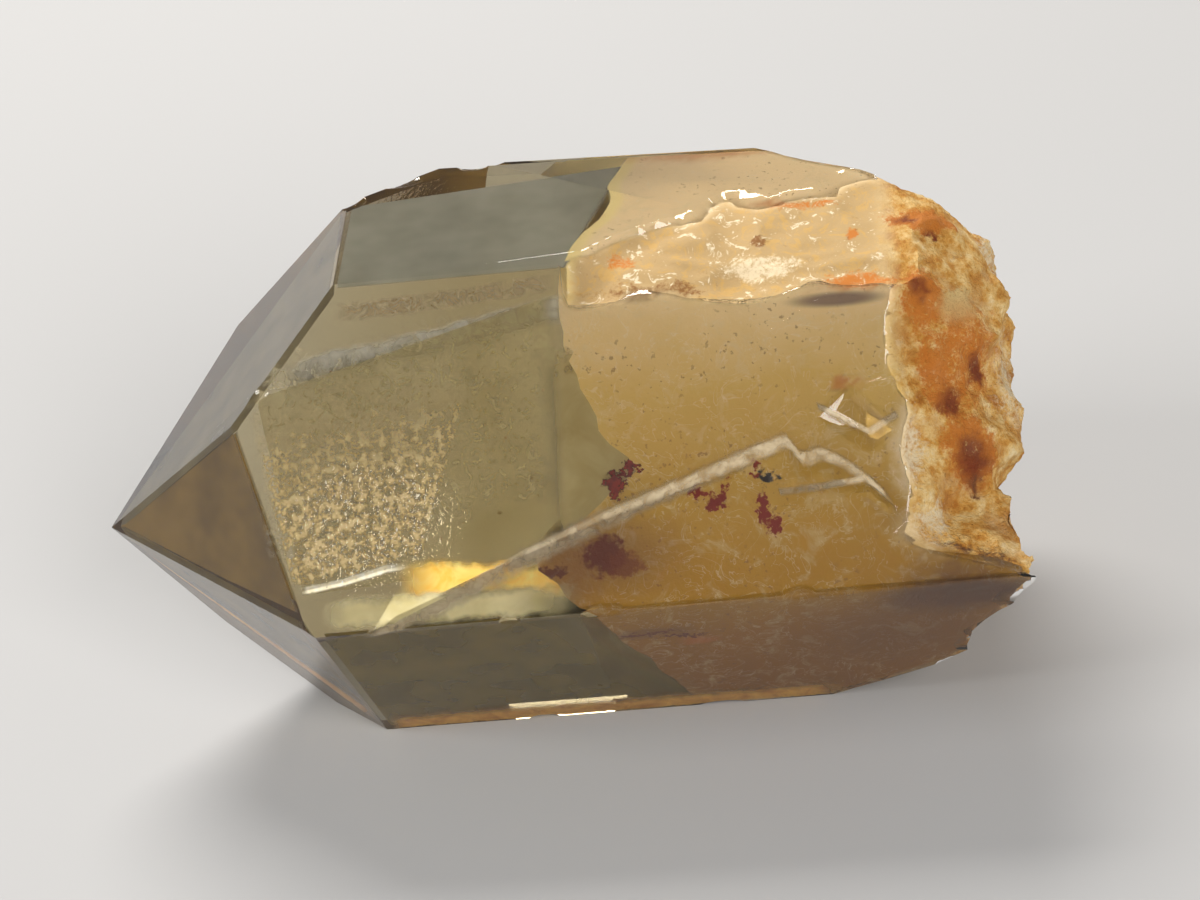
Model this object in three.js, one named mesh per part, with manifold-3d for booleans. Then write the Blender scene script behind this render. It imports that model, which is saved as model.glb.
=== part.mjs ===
// A citrine crystal point: one quartz crystal with six long prism faces, six rhomb faces
// that meet at its tip, and a rough break at the thick end where it came off its bed.
// Millimetres, +Z up. It lies on one prism face, with its tip towards -X and its front to -Y.
import * as THREE from 'three';
import * as BufferGeometryUtils from 'three/addons/utils/BufferGeometryUtils.js';
import Module from 'manifold-3d';

const wasm = await Module();
wasm.setup();

// Driving dimensions. Until the last step the tip is at the origin.
const LENGTH = 48.6; // tip to the furthest point of the break
const STOCK = 160; // block that the flat faces are cut from
const degrees = THREE.MathUtils.degToRad;

// A flat face: turn is its way round the long axis, from straight up towards the front.
// lean is how far it leans towards the tip, and reach its distance from the tip.
const TOP = { turn: 0, lean: 0.7, reach: 13.1 };
const UPPER_FRONT = { turn: 54, lean: -1.4, reach: 7.4 };
const LOWER_FRONT = { turn: 119, lean: -2.4, reach: 9.3 };
const BOTTOM = { turn: 180, lean: 0, reach: 11.5 };
const LOWER_BACK = { turn: 240, lean: 0.4, reach: 14.0 };
const UPPER_BACK = { turn: 300, lean: -1.9, reach: 18.1 };
const PRISM_FACES = [TOP, UPPER_FRONT, LOWER_FRONT, BOTTOM, LOWER_BACK, UPPER_BACK];
const RHOMB_FACES = [
  { turn: 2, lean: 43.9, reach: 0 },
  { turn: 67, lean: 36.1, reach: 0 },
  { turn: 124, lean: 35.0, reach: 0 },
  { turn: 181, lean: 39.5, reach: 2.2 },
  { turn: 242.5, lean: 36.6, reach: 0 },
  { turn: 302.5, lean: 30.1, reach: 6.3 },
];

// Growth steps: low plates on the prism faces. A corner is a distance from the tip and a
// height. Corners beyond the crystal carry a plate over the face's edge or into the break.
const GROWTH_STEPS = [
  {
    face: UPPER_FRONT, // the large plate, with a frosted slope along its upper side
    rise: 0.32,
    slope: 0.66,
    outline: [
      [13.4, -1.4], [16.0, 0.05], [26.5, 3.45], [35.8, 6.05], [36.5, 5.2], [37.5, 5.4], [38.5, 4.95],
      [39.8, 4.1], [40.7, 3.3], [41.2, 2.7], [54, 2.4], [54, -4], [13.4, -4],
    ],
  },
  {
    face: UPPER_FRONT, // a thin bar on that plate
    rise: 0.45,
    slope: 0.14,
    outline: [[35.3, 3.5], [38.0, 3.9], [40.0, 4.2], [41.2, 3.2], [40.9, 2.8], [39.7, 3.6], [37.8, 3.4]],
  },
  {
    face: UPPER_FRONT, // the small clear plate beside the tip's shoulder
    rise: 0.2,
    slope: 0.24,
    outline: [[9, 0.75], [11.5, 0.95], [13.6, 1.2], [15.7, 1.65], [16.4, 1.1], [15.2, -0.4], [12, -4], [9, -4]],
  },
  {
    face: LOWER_BACK,
    rise: 0.3,
    slope: 0.5,
    outline: [[24, -8], [27, -4], [34, -1.5], [44, 0.4], [60, 0], [60, -14], [30, -14]],
  },
  {
    face: UPPER_BACK,
    rise: 0.26,
    slope: 0.4,
    outline: [[20, 16], [23, 9.6], [31, 7.4], [37, 8.8], [60, 8], [60, 16]],
  },
];

// A notch that a neighbouring crystal left in the front face, with slanting sides.
const NOTCH = { outline: [[37.4, 7.0], [39.9, 5.6], [41.4, 6.3], [39.2, 8.2]], depth: 0.45, slope: 0.5 };

// The flat breaks that the broken end is made of: a point on each, and the way it faces.
const SHOULDER = { at: [41.3, -4.0, 5.3], facing: [1, -0.98, 0.71] }; // bevel off the front
const FOOT_LEDGE = { at: [41.4, -7.0, 1.3], facing: [1, -0.5, 4.2] }; // left standing under it
const END_BREAKS = [
  { at: [48.6, 4.0, 3.0], facing: [1, 0.01, 0.25] }, // the end, above its middle
  { at: [48.6, 4.0, 3.0], facing: [1, 0.01, -0.02] }, // and below
  { at: [47.5, -8.2, -0.3], facing: [1, 0, -0.56] }, // undercut
  { at: [41.3, -3.3, -9.6], facing: [1, 0, -2.0] }, // and its steep foot
  { at: [41.9, 8.0, 13.6], facing: [1, 0, 1.25] }, // slope down from the top
  { at: [41.8, 8.0, 13.6], facing: [1, 1.55, 1.76] }, // corner off the back
  { at: [46.8, 12.0, 0], facing: [1, 0.45, 0] }, // slope to the back
  { at: [47.2, -8.2, 0], facing: [1, -0.8, 0.2] }, // blunt corner of the foot
];
const BREAK_BLEND = 0.35; // how softly one flat break passes into the next
const BREAK_CELL = 0.66; // the size of its smallest facets
const BREAK_SINK = 0.3; // how far its scallops lie under the flat breaks

// Lumps on the break, and pits where the height is below zero.
const LUMPS = [
  { y: 1.0, z: 9.4, wide: 2.0, high: 1.0 },
  { y: 7.0, z: 11.2, wide: 2.2, high: 0.8 },
  { y: 4.4, z: 11.9, wide: 1.1, high: -0.9 },
  { y: -2.6, z: 3.6, wide: 2.2, high: 0.6 },
  { y: 5.4, z: 5.6, wide: 2.0, high: -0.7 },
  { y: 0.6, z: 5.8, wide: 1.1, high: -0.9 },
  { y: -1.0, z: 0.4, wide: 1.3, high: -1.1 },
  { y: 9.8, z: -1.0, wide: 2.4, high: -1.0 },
  { y: 12.5, z: 5.5, wide: 2.2, high: 0.7 },
];

// The long spall along the edge between the top and the front: the ridge that it leaves.
const SPALL = { from: 25.4, ridgeY: 0.25, ridgeZ: 11.8, fall: 0.033, cell: 0.5 };

// Small bruises on the crystal's edges: centre and radii.
const BRUISES = [
  { at: [9.5, -2.8, 9.6], radii: [1.4, 0.9, 1.0] },
  { at: [11.3, -1.4, 11.3], radii: [0.8, 0.55, 0.6] },
  { at: [13.4, 9.5, 13.6], radii: [1.2, 1.0, 0.7] },
  { at: [15.8, 11.4, 13.7], radii: [2.0, 1.0, 0.6] },
  { at: [19.8, 12.6, 13.7], radii: [1.1, 0.8, 0.6] },
  { at: [26.5, -9.45, -0.8], radii: [1.5, 0.7, 0.7] },
  { at: [21.8, -9.6, -0.85], radii: [0.8, 0.6, 0.6] },
  { at: [36.2, -9.05, -0.6], radii: [1.0, 0.7, 0.7] },
  { at: [22.0, -3.5, -11.9], radii: [1.3, 0.6, 0.7] },
  { at: [31.5, -3.1, -12.0], radii: [2.0, 0.7, 0.8] },
  { at: [29.0, 18.5, 4.1], radii: [1.8, 0.9, 1.1] },
  { at: [48.4, -8.4, 0.3], radii: [1.8, 1.5, 1.0] },
];

function normalOf({ turn, lean }) {
  const round = degrees(turn);
  const across = Math.cos(degrees(lean));
  return new THREE.Vector3(
    -Math.sin(degrees(lean)), -Math.sin(round) * across, Math.cos(round) * across,
  );
}

// A closed three.js geometry as a solid that can be cut and joined.
function solid(geometry) {
  const bare = geometry.clone();
  bare.deleteAttribute('normal');
  bare.deleteAttribute('uv');
  const merged = BufferGeometryUtils.mergeVertices(bare, 1e-4);
  return new wasm.Manifold(new wasm.Mesh({
    numProp: 3,
    vertProperties: new Float32Array(merged.attributes.position.array),
    triVerts: new Uint32Array(merged.index.array),
  }));
}

function geometryOf(body) {
  const mesh = body.getMesh();
  const geometry = new THREE.BufferGeometry();
  geometry.setAttribute('position', new THREE.BufferAttribute(new Float32Array(mesh.vertProperties), 3));
  geometry.setIndex(new THREE.BufferAttribute(new Uint32Array(mesh.triVerts), 1));
  return geometry;
}

// All that lies outside a flat face, as a block to cut away.
function outside(face, extra) {
  const block = new THREE.BoxGeometry(STOCK, STOCK, STOCK);
  block.translate(0, 0, STOCK / 2 + face.reach + extra);
  const upright = new THREE.Vector3(0, 0, 1);
  block.applyQuaternion(new THREE.Quaternion().setFromUnitVectors(upright, normalOf(face)));
  return solid(block);
}

// The crystal as it grew, before it was broken off. One face can be moved out by extra.
function grownCrystal(moved, extra) {
  let body = solid(new THREE.BoxGeometry(STOCK * 0.7, STOCK * 0.4, STOCK * 0.4));
  for (const face of [...PRISM_FACES, ...RHOMB_FACES]) {
    body = body.subtract(outside(face, face === moved ? extra : 0));
  }
  return body;
}

// A flat prism lying on a face, from low to high above it. Its sides slope in by slope over
// the given height at both ends.
function onFace(face, outline, low, high, slope, height) {
  const normal = normalOf(face);
  const up = new THREE.Vector3(0, normal.z, -normal.y).normalize();
  up.multiplyScalar(Math.sign(up.z));
  const along = new THREE.Vector3().crossVectors(up, normal);
  const shape = new THREE.Shape(outline.map(([x, z]) => new THREE.Vector2(x / along.x, z / up.z)));
  const prism = new THREE.ExtrudeGeometry(shape, {
    depth: high - low - 2 * height,
    bevelThickness: height,
    bevelSize: slope,
    bevelOffset: -slope,
    bevelSegments: 1,
  });
  prism.translate(0, 0, low + height);
  const foot = normal.clone().multiplyScalar(face.reach);
  foot.addScaledVector(up, -foot.z / up.z);
  foot.addScaledVector(along, -foot.x / along.x);
  prism.applyMatrix4(new THREE.Matrix4().makeBasis(along, up, normal).setPosition(foot));
  return solid(prism);
}

// A fixed scatter of numbers from -1 to 1.
function scatter(i, j, kind) {
  const wave = Math.sin(i * 127.1 + j * 311.7 + kind * 74.7) * 43758.5453;
  return (wave - Math.floor(wave)) * 2 - 1;
}

// Shell-shaped scallops with sharp ridges between them, as glassy rock breaks.
function scallops(u, v, size, bowl, tilt) {
  const column = Math.floor(u / size);
  const row = Math.floor(v / size);
  let lowest = Infinity;
  for (let i = column - 1; i <= column + 1; i += 1) {
    for (let j = row - 1; j <= row + 1; j += 1) {
      const du = u - (i + 0.5 + 0.42 * scatter(i, j, 1)) * size;
      const dv = v - (j + 0.5 + 0.42 * scatter(i, j, 2)) * size;
      const slope = tilt * (scatter(i, j, 3) * du + scatter(i, j, 4) * dv);
      lowest = Math.min(lowest, slope + bowl * (du * du + dv * dv) + 0.12 * size * scatter(i, j, 5));
    }
  }
  return lowest;
}

// A block that lies above a rough surface, given as a height over each point.
function aboveSurface(x, y, wide, deep, tall, cell, heightAt) {
  const block = new THREE.BoxGeometry(
    wide, deep, tall, Math.round(wide / cell), Math.round(deep / cell), 1,
  );
  const place = block.attributes.position;
  for (let i = 0; i < place.count; i += 1) {
    const px = place.getX(i) + x;
    const py = place.getY(i) + y;
    place.setXYZ(i, px, py, heightAt(px, py) + (place.getZ(i) > 0 ? tall : 0));
  }
  return solid(block);
}

// How far the crystal reaches from its tip, over a point of its cross section.
function breakReach(y, z) {
  const onPlane = ({ at, facing }) => at[0] - facing[1] * (y - at[1]) - facing[2] * (z - at[2]);
  const reaches = END_BREAKS.map(onPlane);
  reaches.push(Math.max(onPlane(SHOULDER), onPlane(FOOT_LEDGE)));
  const nearest = Math.min(...reaches);
  const soft = reaches.reduce((sum, reach) => sum + Math.exp((nearest - reach) / BREAK_BLEND), 0);
  let reach = nearest - BREAK_BLEND * Math.log(soft);
  for (const { y: lumpY, z: lumpZ, wide, high } of LUMPS) {
    const away = Math.hypot(y - lumpY, z - lumpZ) / wide;
    reach += high * Math.exp(-away * away);
  }
  reach += scallops(y, z, 5.2, 0.07, 0.24) + scallops(y + 40, z, 1.9, 0.2, 0.3) - BREAK_SINK;
  return Math.min(LENGTH, reach);
}

// The spall's surface: a shallow slope behind the ridge, a ragged step, then the top again.
function spallHeight(x, y) {
  const back = y - SPALL.ridgeY;
  const ridge = SPALL.ridgeZ - SPALL.fall * (x - SPALL.from);
  const step = 0.5 * THREE.MathUtils.smoothstep(back + 0.5 * scallops(x, 0, 2.6, 0.3, 0.4), 1.2, 2.3);
  const climb = 0.11 * back + 0.15 * Math.max(0, back - 2);
  const nearEnd = 3 * Math.max(0, SPALL.from - x) + 0.5 * Math.max(0, back - 0.9 * (x - SPALL.from));
  const ragged = back > 0 ? scallops(x, y, 3.4, 0.06, 0.12) + scallops(x, y + 30, 1.3, 0.12, 0.22) : 0;
  return ridge + step + climb + nearEnd + 0.8 * ragged;
}

function bruise({ at, radii }) {
  const shell = new THREE.IcosahedronGeometry(1, 3);
  shell.scale(...radii);
  shell.translate(...at);
  return solid(shell);
}

function citrine() {
  let body = grownCrystal();
  for (const { face, outline, rise, slope } of GROWTH_STEPS) {
    const plate = onFace(face, outline, -2, rise, slope, rise);
    body = body.add(plate.intersect(grownCrystal(face, rise)));
  }
  body = body.subtract(onFace(UPPER_FRONT, NOTCH.outline, -NOTCH.depth, 3, NOTCH.slope, NOTCH.depth));
  body = body.subtract(aboveSurface(37, 3, 26, 14, 12, SPALL.cell, spallHeight));
  const beyond = aboveSurface(4, 1, 40, 32, 30, BREAK_CELL, breakReach);
  const lying = geometryOf(beyond);
  lying.applyMatrix4(new THREE.Matrix4().makeBasis(
    new THREE.Vector3(0, 1, 0), new THREE.Vector3(0, 0, 1), new THREE.Vector3(1, 0, 0),
  ));
  body = body.subtract(solid(lying));
  for (const mark of BRUISES) {
    body = body.subtract(bruise(mark));
  }
  return body;
}

const geometry = geometryOf(citrine());

// The finished part's origin: the middle of its box, on the surface that it lies on.
geometry.computeBoundingBox();
const box = geometry.boundingBox;
geometry.translate(-(box.min.x + box.max.x) / 2, -(box.min.y + box.max.y) / 2, -box.min.z);

const honey = new THREE.MeshStandardMaterial({ color: 0xb08a4c, roughness: 0.15, metalness: 0 });
const crystal = new THREE.Mesh(geometry, honey);
crystal.name = 'citrine_crystal';

const part = new THREE.Group();
part.add(crystal);

export default part;
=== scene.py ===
import math
import bpy
from mathutils import Matrix, Vector, noise

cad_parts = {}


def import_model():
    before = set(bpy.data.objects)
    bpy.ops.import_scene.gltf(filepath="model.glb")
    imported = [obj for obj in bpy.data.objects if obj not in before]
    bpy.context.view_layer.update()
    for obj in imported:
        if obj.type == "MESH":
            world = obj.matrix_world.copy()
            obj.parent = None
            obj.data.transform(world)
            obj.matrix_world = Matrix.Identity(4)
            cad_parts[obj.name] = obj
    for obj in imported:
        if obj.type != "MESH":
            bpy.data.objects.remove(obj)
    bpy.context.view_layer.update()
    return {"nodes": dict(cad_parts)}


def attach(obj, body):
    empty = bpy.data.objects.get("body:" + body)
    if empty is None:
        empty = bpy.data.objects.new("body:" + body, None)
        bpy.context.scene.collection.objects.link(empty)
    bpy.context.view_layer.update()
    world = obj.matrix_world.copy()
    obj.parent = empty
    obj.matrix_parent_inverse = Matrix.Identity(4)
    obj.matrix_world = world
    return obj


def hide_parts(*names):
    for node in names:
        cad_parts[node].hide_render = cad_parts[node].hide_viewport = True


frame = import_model()

# The photograph's view. The camera stands in front of the crystal and above it, and looks at
# its front prism face. Places are given in millimetres from the crystal's tip, the lowest X.
cad_crystal = frame["nodes"]["citrine_crystal"]
tip = min((vertex.co for vertex in cad_crystal.data.vertices), key=lambda co: co.x).copy()


def from_tip(x, y, z):
    """A place in metres, from millimetres along X, Y and Z from the tip."""
    return tip + Vector((x, y, z)) / 1000


def to_tip(place):
    """Millimetres from the tip, from a place in metres."""
    return (place - tip) * 1000


CAMERA_PLACE = from_tip(41.27, -128.16, 86.49)
CAMERA_RIGHT = Vector((0.99352, 0.0506, -0.10181))
CAMERA_UP = Vector((0.05745, 0.5493, 0.83365))
CAMERA_BACK = Vector((0.09811, -0.83409, 0.54284))
LENS = 90  # mm
SENSOR = 36  # mm
CLIP_NEAR = 0.01
CLIP_FAR = 20

camera_data = bpy.data.cameras.new("photo_camera")
camera_data.lens = LENS
camera_data.sensor_width = SENSOR
camera_data.clip_start = CLIP_NEAR
camera_data.clip_end = CLIP_FAR
camera = bpy.data.objects.new("photo_camera", camera_data)
bpy.context.scene.collection.objects.link(camera)
turn = Matrix((CAMERA_RIGHT, CAMERA_UP, CAMERA_BACK)).transposed()
camera.matrix_world = Matrix.Translation(CAMERA_PLACE) @ turn.to_4x4()
bpy.context.scene.camera = camera

# The clear crystal: one piece of quartz with glassy prism and rhomb faces. Its edges are worn
# round by a tenth of a millimetre, and its faces carry growth steps and a patch of etching.
EDGE_WEAR = 0.00016
MERGE_DISTANCE = 2e-6
FLAT_WITHIN = math.radians(0.4)
LARGE_FACE = 9e-6  # square metres, for the crystal's main faces
WORN_FACE = 1.2e-6  # square metres, for the faces with worn edges between them
WORN_EDGE = math.radians(14)
CRYSTAL_SHARP = math.radians(28)
END_STEP = (0.0395, 0.0408)  # where the rough break begins, from the tip
END_LEAN = 0.3
SPALL_ALONG = (0.0250, 0.0262)
SPALL_HIGH = (0.0103, 0.0108)
SPALL_FAR_SIDE = (0.0125, 0.0118)
OFF_THE_FACE = (0.00010, 0.00034)
SPALL_SINK = 0.0004
BREAK_SINK = 0.0011
DEEPER_SINK = (0.0405, 0.0422)


def deselect_all():
    bpy.ops.object.select_all(action="DESELECT")


def pick(piece):
    deselect_all()
    piece.select_set(True)
    bpy.context.view_layer.objects.active = piece


def work_on(piece, select="DESELECT"):
    pick(piece)
    bpy.ops.object.mode_set(mode="EDIT")
    bpy.ops.mesh.select_all(action=select)


def done():
    bpy.ops.object.mode_set(mode="OBJECT")
    deselect_all()


def copy_of_crystal(name):
    deselect_all()
    piece = bpy.data.objects.new(name, cad_crystal.data.copy())
    bpy.context.scene.collection.objects.link(piece)
    piece.data.materials.clear()
    work_on(piece, "SELECT")
    bpy.ops.mesh.remove_doubles(threshold=MERGE_DISTANCE)
    bpy.ops.mesh.dissolve_limited(angle_limit=FLAT_WITHIN)
    done()
    return piece


def apply_modifiers(piece):
    pick(piece)
    for modifier in list(piece.modifiers):
        bpy.ops.object.modifier_apply(modifier=modifier.name)
    deselect_all()


def shade(piece, sharp_angle):
    """Smooth shading, with edges past the angle left sharp."""
    pick(piece)
    bpy.ops.object.shade_smooth_by_angle(angle=sharp_angle)


crystal = copy_of_crystal("clear_crystal")
flat_faces = [
    (face.normal.copy(), face.center.copy()) for face in crystal.data.polygons
    if face.area > LARGE_FACE
]


def depth_under_faces(place):
    """How far a point lies under the nearest of the crystal's flat faces, in metres."""
    return min(abs(normal.dot(center - place)) for normal, center in flat_faces)


def smooth(low, high, value):
    """A soft step from nought to one as the value passes from low to high."""
    part = max(0.0, min(1.0, (value - low) / (high - low)))
    return part * part * (3 - 2 * part)


def broken(place):
    """One on the rough break and along the spall, and nought on the glassy faces."""
    here = place - tip
    end = smooth(*END_STEP, here.x + END_LEAN * max(0.0, -here.z))
    spall = smooth(*SPALL_ALONG, here.x) * smooth(*SPALL_HIGH, here.z) * smooth(*SPALL_FAR_SIDE, here.y)
    return max(end, spall) * smooth(*OFF_THE_FACE, depth_under_faces(place))


def break_depth(place):
    """How far the clear stone lies behind the bare stone of the break and the spall."""
    at_end = smooth(*DEEPER_SINK, place.x - tip.x)
    return broken(place) * (SPALL_SINK + (BREAK_SINK - SPALL_SINK) * at_end)


normals = [vertex.normal.copy() for vertex in crystal.data.vertices]
for vertex, normal in zip(crystal.data.vertices, normals):
    vertex.co -= normal * break_depth(vertex.co)

work_on(crystal)
bpy.ops.mesh.select_mode(type="EDGE")
bpy.ops.object.mode_set(mode="OBJECT")
large = {face.index for face in crystal.data.polygons if face.area > WORN_FACE}
edge_faces = {}
for face in crystal.data.polygons:
    for key in face.edge_keys:
        edge_faces.setdefault(key, []).append(face)
for edge in crystal.data.edges:
    sides = edge_faces.get(edge.key, [])
    if len(sides) == 2 and all(side.index in large for side in sides):
        edge.select = sides[0].normal.angle(sides[1].normal) > WORN_EDGE
bpy.ops.object.mode_set(mode="EDIT")
bpy.ops.mesh.bevel(offset=EDGE_WEAR, segments=2, profile=0.5, clamp_overlap=True)
done()
shade(crystal, CRYSTAL_SHARP)
even = crystal.modifiers.new("flat_faces_stay_flat", "WEIGHTED_NORMAL")
even.mode = "FACE_AREA"
even.weight = 100
even.keep_sharp = True
apply_modifiers(crystal)


def new_material(name):
    material = bpy.data.materials.new(name)
    material.use_nodes = True
    return material, material.node_tree, material.node_tree.nodes["Principled BSDF"]


def set_inputs(tree, node, inputs):
    """Gives each input, by its name or number, its value or the socket that feeds it."""
    for name, value in inputs.items():
        if isinstance(value, bpy.types.NodeSocket):
            tree.links.new(value, node.inputs[name])
        else:
            node.inputs[name].default_value = value


def add(tree, kind, settings=None, **inputs):
    """Adds a node. n0, n1 and so on are its inputs by number, and other words by name."""
    node = tree.nodes.new("ShaderNode" + kind)
    for setting, value in (settings or {}).items():
        setattr(node, setting, value)
    numbered = {int(name[1:]) if name[1:].isdigit() else name: value for name, value in inputs.items()}
    set_inputs(tree, node, numbered)
    return node


def reckon(tree, operation, first, second=0.0, third=0.0):
    return add(tree, "Math", {"operation": operation}, n0=first, n1=second, n2=third).outputs[0]


def times(tree, first, second):
    return reckon(tree, "MULTIPLY", first, second)


def vector_step(tree, operation, first, second):
    return add(tree, "VectorMath", {"operation": operation}, n0=first, n1=second).outputs[0]


def between(tree, value, low, high, at_low=0.0, at_high=1.0):
    """A soft step from at_low to at_high as the value passes from low to high."""
    settings = {"interpolation_type": "SMOOTHSTEP"}
    return add(tree, "MapRange", settings, n0=value, n1=low, n2=high, n3=at_low, n4=at_high).outputs[0]


def attribute(tree, name, output="Fac"):
    return add(tree, "Attribute", {"attribute_name": name}).outputs[output]


def millimetres(tree):
    """The place on the crystal in millimetres from its tip."""
    place = add(tree, "TexCoord").outputs["Object"]
    scale = (1000, 1000, 1000)
    return add(tree, "Mapping", Vector=place, Scale=scale, Location=-tip * 1000).outputs["Vector"]


def grain(tree, place, scale, detail=3.0, rough=0.55, warp=0.0, output="Fac"):
    node = add(tree, "TexNoise", Vector=place, Scale=scale, Detail=detail, Roughness=rough, Distortion=warp)
    return node.outputs[output]


patch_group = bpy.data.node_groups.new("patch_mask", "ShaderNodeTree")
for socket_name in ("Place", "Center", "Size"):
    patch_group.interface.new_socket(socket_name, in_out="INPUT", socket_type="NodeSocketVector")
for socket_name in ("Edge", "Strength"):
    patch_group.interface.new_socket(socket_name, in_out="INPUT", socket_type="NodeSocketFloat")
patch_group.interface.new_socket("Mask", in_out="OUTPUT", socket_type="NodeSocketFloat")
given = patch_group.nodes.new("NodeGroupInput").outputs
from_center = vector_step(patch_group, "SUBTRACT", given["Place"], given["Center"])
in_sizes = vector_step(patch_group, "DIVIDE", from_center, given["Size"])
away = add(patch_group, "VectorMath", {"operation": "LENGTH"}, n0=in_sizes).outputs["Value"]
inner = reckon(patch_group, "SUBTRACT", 1.0, given["Edge"])
outer = reckon(patch_group, "ADD", 1.0, given["Edge"])
mask = times(patch_group, between(patch_group, away, inner, outer, 1.0, 0.0), given["Strength"])
patch_group.links.new(mask, patch_group.nodes.new("NodeGroupOutput").inputs["Mask"])


def three_sizes(size):
    return size if isinstance(size, tuple) else (size, size, size)


def patch(tree, place, center, size, edge=0.3, strength=1.0):
    """The mask of a soft-edged blob, in millimetres from the tip."""
    node = tree.nodes.new("ShaderNodeGroup")
    node.node_tree = patch_group
    set_inputs(tree, node, {
        "Place": place, "Center": center, "Size": three_sizes(size), "Edge": edge, "Strength": strength,
    })
    return node.outputs["Mask"]


COARSE_RAGS = 0.8  # scales of the noise that makes an outline ragged
FINE_RAGS = 3.6


def ragged(tree, place, coarse, fine):
    """The place shifted by two sizes of noise, so that a patch read at it has a ragged outline."""
    result = place
    for scale, amount in ((COARSE_RAGS, coarse), (FINE_RAGS, fine)):
        color = grain(tree, place, scale, output="Color")
        shift = vector_step(tree, "SUBTRACT", color, (0.5, 0.5, 0.5))
        step = add(tree, "VectorMath", {"operation": "SCALE"}, n0=shift, Scale=amount).outputs[0]
        result = vector_step(tree, "ADD", result, step)
    return result


def opaque(color):
    """A colour of three numbers at full alpha. A socket stays as it is."""
    return (*color, 1) if isinstance(color, tuple) else color


def tinted(tree, under, over, factor):
    """A colour laid over another where the factor says."""
    node = add(tree, "Mix", {"data_type": "RGBA", "clamp_factor": True}, n0=factor)
    set_inputs(tree, node, {6: opaque(under), 7: opaque(over)})
    return node.outputs[2]


def ramp(tree, factor, stops):
    node = add(tree, "ValToRGB", Fac=factor)
    elements = node.color_ramp.elements
    while len(elements) < len(stops):
        elements.new(0.5)
    for element, (position, color) in zip(elements, stops):
        element.position = position
        element.color = opaque(color)
    return node.outputs["Color"]


def dented(tree, shader, height):
    """Dents the surface by a height in millimetres."""
    dents = add(tree, "Bump", Strength=1.0, Distance=0.001, Height=height)
    tree.links.new(dents.outputs["Normal"], shader.inputs["Normal"])


QUARTZ_IOR = 1.544
POLISH = 0.02
GOLDEN = (0.62, 0.50, 0.15, 1)
GOLDEN_DENSITY = 100  # per metre
ETCHED_CENTER = (14.8, -6.2, 3.4)
ETCHED_SIZE = (4.6, 3.4, 3.6)
ETCHED_DEPTH = 0.14
EVEN_DEPTH = 0.002

citrine, tree, shader = new_material("clear_citrine")
place = millimetres(tree)
etching = patch(tree, place, ETCHED_CENTER, ETCHED_SIZE, 0.4, ETCHED_DEPTH)
depth = reckon(tree, "ADD", etching, EVEN_DEPTH)
dented(tree, shader, times(tree, grain(tree, place, 3.0, 2, 0.6), depth))
set_inputs(tree, shader, {
    "Roughness": POLISH, "Base Color": (1, 1, 1, 1), "Transmission Weight": 1, "IOR": QUARTZ_IOR,
})
absorption = add(tree, "VolumeAbsorption", Color=GOLDEN, Density=GOLDEN_DENSITY)
tree.links.new(absorption.outputs["Volume"], tree.nodes["Material Output"].inputs["Volume"])
crystal.data.materials.append(citrine)
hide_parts("citrine_crystal")
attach(crystal, "root")

# The milky heart: the thick half of the crystal is full of minute bubbles and healed cracks.
# It begins at a veil across the crystal, and at the break its own rough stone lies bare.
HEART_DEPTH = 0.00028
BARE_DEPTH = 0.00003
HEART_VOXEL = 0.00026
HEART_SHARP = math.radians(40)
RIDGE_DEPTH = 0.00034
CELL_DEPTH = 0.00022
FLAKE_DEPTH = 0.00030
DEEP_PIT = 0.0005
CRUMBLY_END = (0.0408, 0.0425)

heart = copy_of_crystal("milky_heart")
remesh = heart.modifiers.new("even_mesh", "REMESH")
remesh.mode = "VOXEL"
remesh.voxel_size = HEART_VOXEL
apply_modifiers(heart)


def record(name, value_at):
    """Keeps a number for each vertex of the heart, which the material reads by its name."""
    values = heart.data.attributes.new(name, "FLOAT", "POINT").data
    for vertex, value in zip(heart.data.vertices, values):
        value.value = value_at(vertex.co)


def sink_heart(depth_at):
    """Moves each vertex of the heart in along its normal, by its place and how bare it is."""
    bare = [value.value for value in heart.data.attributes["bare_stone"].data]
    normals = [vertex.normal.copy() for vertex in heart.data.vertices]
    for vertex, normal, share in zip(heart.data.vertices, normals, bare):
        vertex.co -= normal * depth_at(vertex.co, share)


record("bare_stone", broken)
sink_heart(lambda place, bare: HEART_DEPTH * (1 - bare) + BARE_DEPTH * bare)

VEIL_BLOCK_CENTER = (45, 4, 0)
VEIL_BLOCK_SIZE = (0.04, 0.05, 0.05)
VEIL_BLOCK_CUTS = 85
VEIL_BLOCK_START = 25
VEIL_MOVES_BEFORE = 40  # the block is reshaped nearer to the tip than this
UPPER_FRONT_REACH = 7.6
LOWER_FRONT_REACH = 9.3
VEIL_INSIDE = 26.3
VEIL_LINE = (  # height and distance from the tip, just under the front faces, in millimetres
    (-12.0, 30.8), (-9.7, 29.8), (-6.5, 28.2), (-3.6, 27.1), (-1.2, 26.1), (0.4, 24.5),
    (1.5, 23.1), (2.3, 24.4), (3.1, 25.8), (3.9, 27.2), (4.7, 28.4), (6.6, 27.0),
    (8.4, 25.8), (10.1, 25.1), (11.9, 24.8), (13.5, 25.4),
)


def under_fronts(y, z):
    """How far a point of the cross section lies under the nearer front face, in millimetres."""
    under_upper = UPPER_FRONT_REACH - (-0.809 * y + 0.587 * z + 0.63)
    under_lower = LOWER_FRONT_REACH - (-0.8736 * y - 0.4849 * z + 1.04)
    return min(under_upper, under_lower)


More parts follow.
